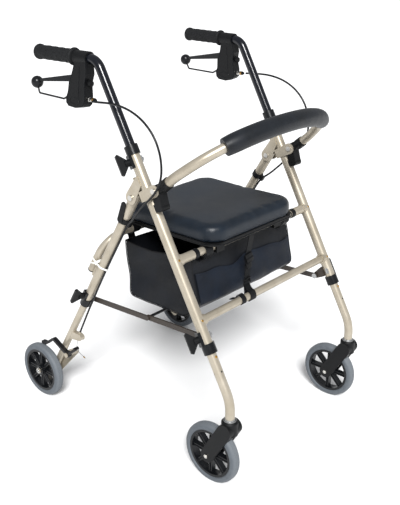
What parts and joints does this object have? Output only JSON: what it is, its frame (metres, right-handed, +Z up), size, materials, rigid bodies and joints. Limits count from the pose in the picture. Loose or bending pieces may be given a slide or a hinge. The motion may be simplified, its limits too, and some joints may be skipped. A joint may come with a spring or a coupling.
{
  "type": "rollator walker",
  "caption": "Folding four-wheeled walker with a padded seat, curved backrest, storage bag, telescoping handles and legs, swivel front casters and hand brakes on the rear wheels.",
  "frame": {"origin": "on the floor under the middle of the walker, the bottom centre of its box", "axes": "+Z up, the walker travels towards -Y, +X is the user's left; X is the mirror axis"},
  "size_m": [0.592, 0.748, 0.9598],
  "materials": {
    "frame_paint": "silver satin enamel on aluminium tube",
    "inner_tube": "bare satin aluminium tube",
    "plain_steel": "zinc-plated pressed steel",
    "black_plastic": "moulded, fine texture",
    "handle_black": "black satin powder coat",
    "grip_rubber": "moulded soft rubber",
    "grey_tyre": "solid grey tyre",
    "seat_vinyl": "black padded vinyl",
    "bag_cloth": "black woven nylon",
    "foam": "black foam sleeve",
    "cable_black": "black cable jacket",
    "tie_white": "white nylon"
  },
  "bodies": {
    "frame": {"left_front_leg": "frame_paint", "right_front_leg": "frame_paint", "seat_crossbar": "frame_paint", "lower_crossbar": "frame_paint", "leg_brackets": "plain_steel", "bracket_bolts": "plain_steel", "handle_collars": "black_plastic", "front_clamp_collars": "black_plastic", "front_leg_fasteners": "plain_steel", "strut_tabs": "plain_steel", "storage_bag": "bag_cloth", "brake_cables": "cable_black"},
    "seat": {"seat_pad": "seat_vinyl", "seat_base": "black_plastic"},
    "backrest": {"backrest_hoop": "frame_paint", "backrest_foam": "foam", "backrest_sockets": "black_plastic"},
    "rear_frame": {"left_rear_leg": "frame_paint", "right_rear_leg": "frame_paint", "rear_crossbar": "frame_paint", "cable_ties": "tie_white", "rear_clamp_collars": "black_plastic", "rear_leg_fasteners": "plain_steel", "cable_clips": "black_plastic"},
    "front_struts": {"front_struts": "plain_steel", "link_rod": "black_plastic"},
    "left_rear_strut": {"left_rear_strut": "plain_steel"},
    "left_handle": {"left_handle_tube": "handle_black", "left_grip": "grip_rubber", "left_brake_housing": "black_plastic"},
    "left_brake_lever": {"left_brake_lever": "black_plastic"},
    "left_handle_knob": {"left_handle_knob": "black_plastic"},
    "left_front_leg_knob": {"left_front_leg_knob": "black_plastic"},
    "left_rear_leg_knob": {"left_rear_leg_knob": "black_plastic"},
    "left_front_extension": {"left_front_extension": "inner_tube"},
    "left_caster": {"left_caster_fork": "black_plastic", "left_caster_axle": "plain_steel"},
    "left_front_wheel": {"left_front_rim": "black_plastic", "left_front_tyre": "grey_tyre"},
    "left_rear_extension": {"left_rear_extension": "inner_tube"},
    "left_brake_arm": {"left_brake_arm": "plain_steel"},
    "left_rear_wheel": {"left_rear_rim": "black_plastic", "left_rear_tyre": "grey_tyre"},
    "right_rear_strut": {"right_rear_strut": "plain_steel"},
    "right_handle": {"right_handle_tube": "handle_black", "right_grip": "grip_rubber", "right_brake_housing": "black_plastic"},
    "right_brake_lever": {"right_brake_lever": "black_plastic"},
    "right_handle_knob": {"right_handle_knob": "black_plastic"},
    "right_front_leg_knob": {"right_front_leg_knob": "black_plastic"},
    "right_rear_leg_knob": {"right_rear_leg_knob": "black_plastic"},
    "right_front_extension": {"right_front_extension": "inner_tube"},
    "right_caster": {"right_caster_fork": "black_plastic", "right_caster_axle": "plain_steel"},
    "right_front_wheel": {"right_front_rim": "black_plastic", "right_front_tyre": "grey_tyre"},
    "right_rear_extension": {"right_rear_extension": "inner_tube"},
    "right_brake_arm": {"right_brake_arm": "plain_steel"},
    "right_rear_wheel": {"right_rear_rim": "black_plastic", "right_rear_tyre": "grey_tyre"}
  },
  "joints": [
    {"name": "frame_fold", "type": "hinge", "parent": "frame", "child": "rear_frame", "pos_m": [0, -0.06402, 0.64904], "axis": [-1, 0, 0], "range_deg": [0, 40], "deforming": ["storage_bag", "brake_cables"]},
    {"name": "front_strut_fold", "type": "hinge", "parent": "frame", "child": "front_struts", "pos_m": [0, -0.245, 0.351], "axis": [1, 0, 0], "range_deg": [0, 55.06]},
    {"name": "seat_flip", "type": "hinge", "parent": "frame", "child": "seat", "pos_m": [0, -0.18559, 0.524], "axis": [1, 0, 0], "range_deg": [0, 70]},
    {"name": "backrest_tilt", "type": "hinge", "parent": "frame", "child": "backrest", "pos_m": [0, -0.13549, 0.67894], "axis": [-1, 0, 0], "range_deg": [0, 60]},
    {"name": "left_rear_strut_fold", "type": "hinge", "parent": "rear_frame", "child": "left_rear_strut", "pos_m": [0.2355, 0.12496, 0.33327], "axis": [-1, 0, 0], "range_deg": [0, 42.75]},
    {"name": "left_handle_height", "type": "slide", "parent": "frame", "child": "left_handle", "axis": [0, 0.4848, 0.8746], "range_m": [-0.1, 0.02], "deforming": ["brake_cables"]},
    {"name": "left_brake_squeeze", "type": "hinge", "parent": "left_handle", "child": "left_brake_lever", "pos_m": [0.26009, 0.088, 0.88435], "axis": [0.9938, 0, 0.1115], "range_deg": [0, 13], "stiffness_Nm_per_rad": 1.2, "springref_deg": -14.32},
    {"name": "left_handle_knob_turn", "type": "hinge", "parent": "frame", "child": "left_handle_knob", "pos_m": [0.252, -0.06972, 0.73303], "axis": [0.9397, 0.2991, -0.1658], "range_deg": [0, 360]},
    {"name": "left_front_leg_knob_turn", "type": "hinge", "parent": "frame", "child": "left_front_leg_knob", "pos_m": [0.252, -0.27188, 0.36832], "axis": [0.9397, 0.2991, -0.1658], "range_deg": [0, 360]},
    {"name": "left_rear_leg_knob_turn", "type": "hinge", "parent": "rear_frame", "child": "left_rear_leg_knob", "pos_m": [0.252, 0.11571, 0.34872], "axis": [0.9397, 0.2935, 0.1756], "range_deg": [0, 360]},
    {"name": "left_front_leg_length", "type": "slide", "parent": "frame", "child": "left_front_extension", "axis": [0, 0.4848, 0.8746], "range_m": [-0.05, 0.07]},
    {"name": "left_caster_swivel", "type": "hinge", "parent": "left_front_extension", "child": "left_caster", "pos_m": [0.252, -0.348, 0.17], "axis": [0, 0, 1], "continuous": true},
    {"name": "left_front_wheel_spin", "type": "hinge", "parent": "left_caster", "child": "left_front_wheel", "pos_m": [0.252, -0.298, 0.076], "axis": [1, 0, 0], "continuous": true},
    {"name": "left_rear_leg_length", "type": "slide", "parent": "rear_frame", "child": "left_rear_extension", "axis": [0, -0.5135, 0.8581], "range_m": [-0.05, 0.07], "deforming": ["brake_cables"]},
    {"name": "left_brake_arm_turn", "type": "hinge", "parent": "left_rear_extension", "child": "left_brake_arm", "pos_m": [0.27, 0.193, 0.157], "axis": [-1, 0, 0], "range_deg": [0, 2.1]},
    {"name": "left_rear_wheel_spin", "type": "hinge", "parent": "left_rear_extension", "child": "left_rear_wheel", "pos_m": [0.277, 0.298, 0.076], "axis": [1, 0, 0], "continuous": true},
    {"name": "right_rear_strut_fold", "type": "hinge", "parent": "rear_frame", "child": "right_rear_strut", "pos_m": [-0.2355, 0.12496, 0.33327], "axis": [-1, 0, 0], "range_deg": [0, 42.75]},
    {"name": "right_handle_height", "type": "slide", "parent": "frame", "child": "right_handle", "axis": [0, 0.4848, 0.8746], "range_m": [-0.1, 0.02], "deforming": ["brake_cables"]},
    {"name": "right_brake_squeeze", "type": "hinge", "parent": "right_handle", "child": "right_brake_lever", "pos_m": [-0.26009, 0.088, 0.88435], "axis": [0.9938, 0, -0.1115], "range_deg": [0, 13], "stiffness_Nm_per_rad": 1.2, "springref_deg": -14.32},
    {"name": "right_handle_knob_turn", "type": "hinge", "parent": "frame", "child": "right_handle_knob", "pos_m": [-0.252, -0.06972, 0.73303], "axis": [-0.9397, 0.2991, -0.1658], "range_deg": [0, 360]},
    {"name": "right_front_leg_knob_turn", "type": "hinge", "parent": "frame", "child": "right_front_leg_knob", "pos_m": [-0.252, -0.27188, 0.36832], "axis": [-0.9397, 0.2991, -0.1658], "range_deg": [0, 360]},
    {"name": "right_rear_leg_knob_turn", "type": "hinge", "parent": "rear_frame", "child": "right_rear_leg_knob", "pos_m": [-0.252, 0.11571, 0.34872], "axis": [-0.9397, 0.2935, 0.1756], "range_deg": [0, 360]},
    {"name": "right_front_leg_length", "type": "slide", "parent": "frame", "child": "right_front_extension", "axis": [0, 0.4848, 0.8746], "range_m": [-0.05, 0.07]},
    {"name": "right_caster_swivel", "type": "hinge", "parent": "right_front_extension", "child": "right_caster", "pos_m": [-0.252, -0.348, 0.17], "axis": [0, 0, 1], "continuous": true},
    {"name": "right_front_wheel_spin", "type": "hinge", "parent": "right_caster", "child": "right_front_wheel", "pos_m": [-0.252, -0.298, 0.076], "axis": [1, 0, 0], "continuous": true},
    {"name": "right_rear_leg_length", "type": "slide", "parent": "rear_frame", "child": "right_rear_extension", "axis": [0, -0.5135, 0.8581], "range_m": [-0.05, 0.07], "deforming": ["brake_cables"]},
    {"name": "right_brake_arm_turn", "type": "hinge", "parent": "right_rear_extension", "child": "right_brake_arm", "pos_m": [-0.27, 0.193, 0.157], "axis": [-1, 0, 0], "range_deg": [0, 2.1]},
    {"name": "right_rear_wheel_spin", "type": "hinge", "parent": "right_rear_extension", "child": "right_rear_wheel", "pos_m": [-0.277, 0.298, 0.076], "axis": [1, 0, 0], "continuous": true}
  ],
  "couplings": [
    {"joint": "front_strut_fold", "follows": "frame_fold", "ratio": 1.3639},
    {"joint": "left_rear_strut_fold", "follows": "frame_fold", "ratio": 1.0563},
    {"joint": "left_brake_arm_turn", "follows": "left_brake_squeeze", "ratio": 0.14},
    {"joint": "right_rear_strut_fold", "follows": "frame_fold", "ratio": 1.0563},
    {"joint": "right_brake_arm_turn", "follows": "right_brake_squeeze", "ratio": 0.14}
  ]
}
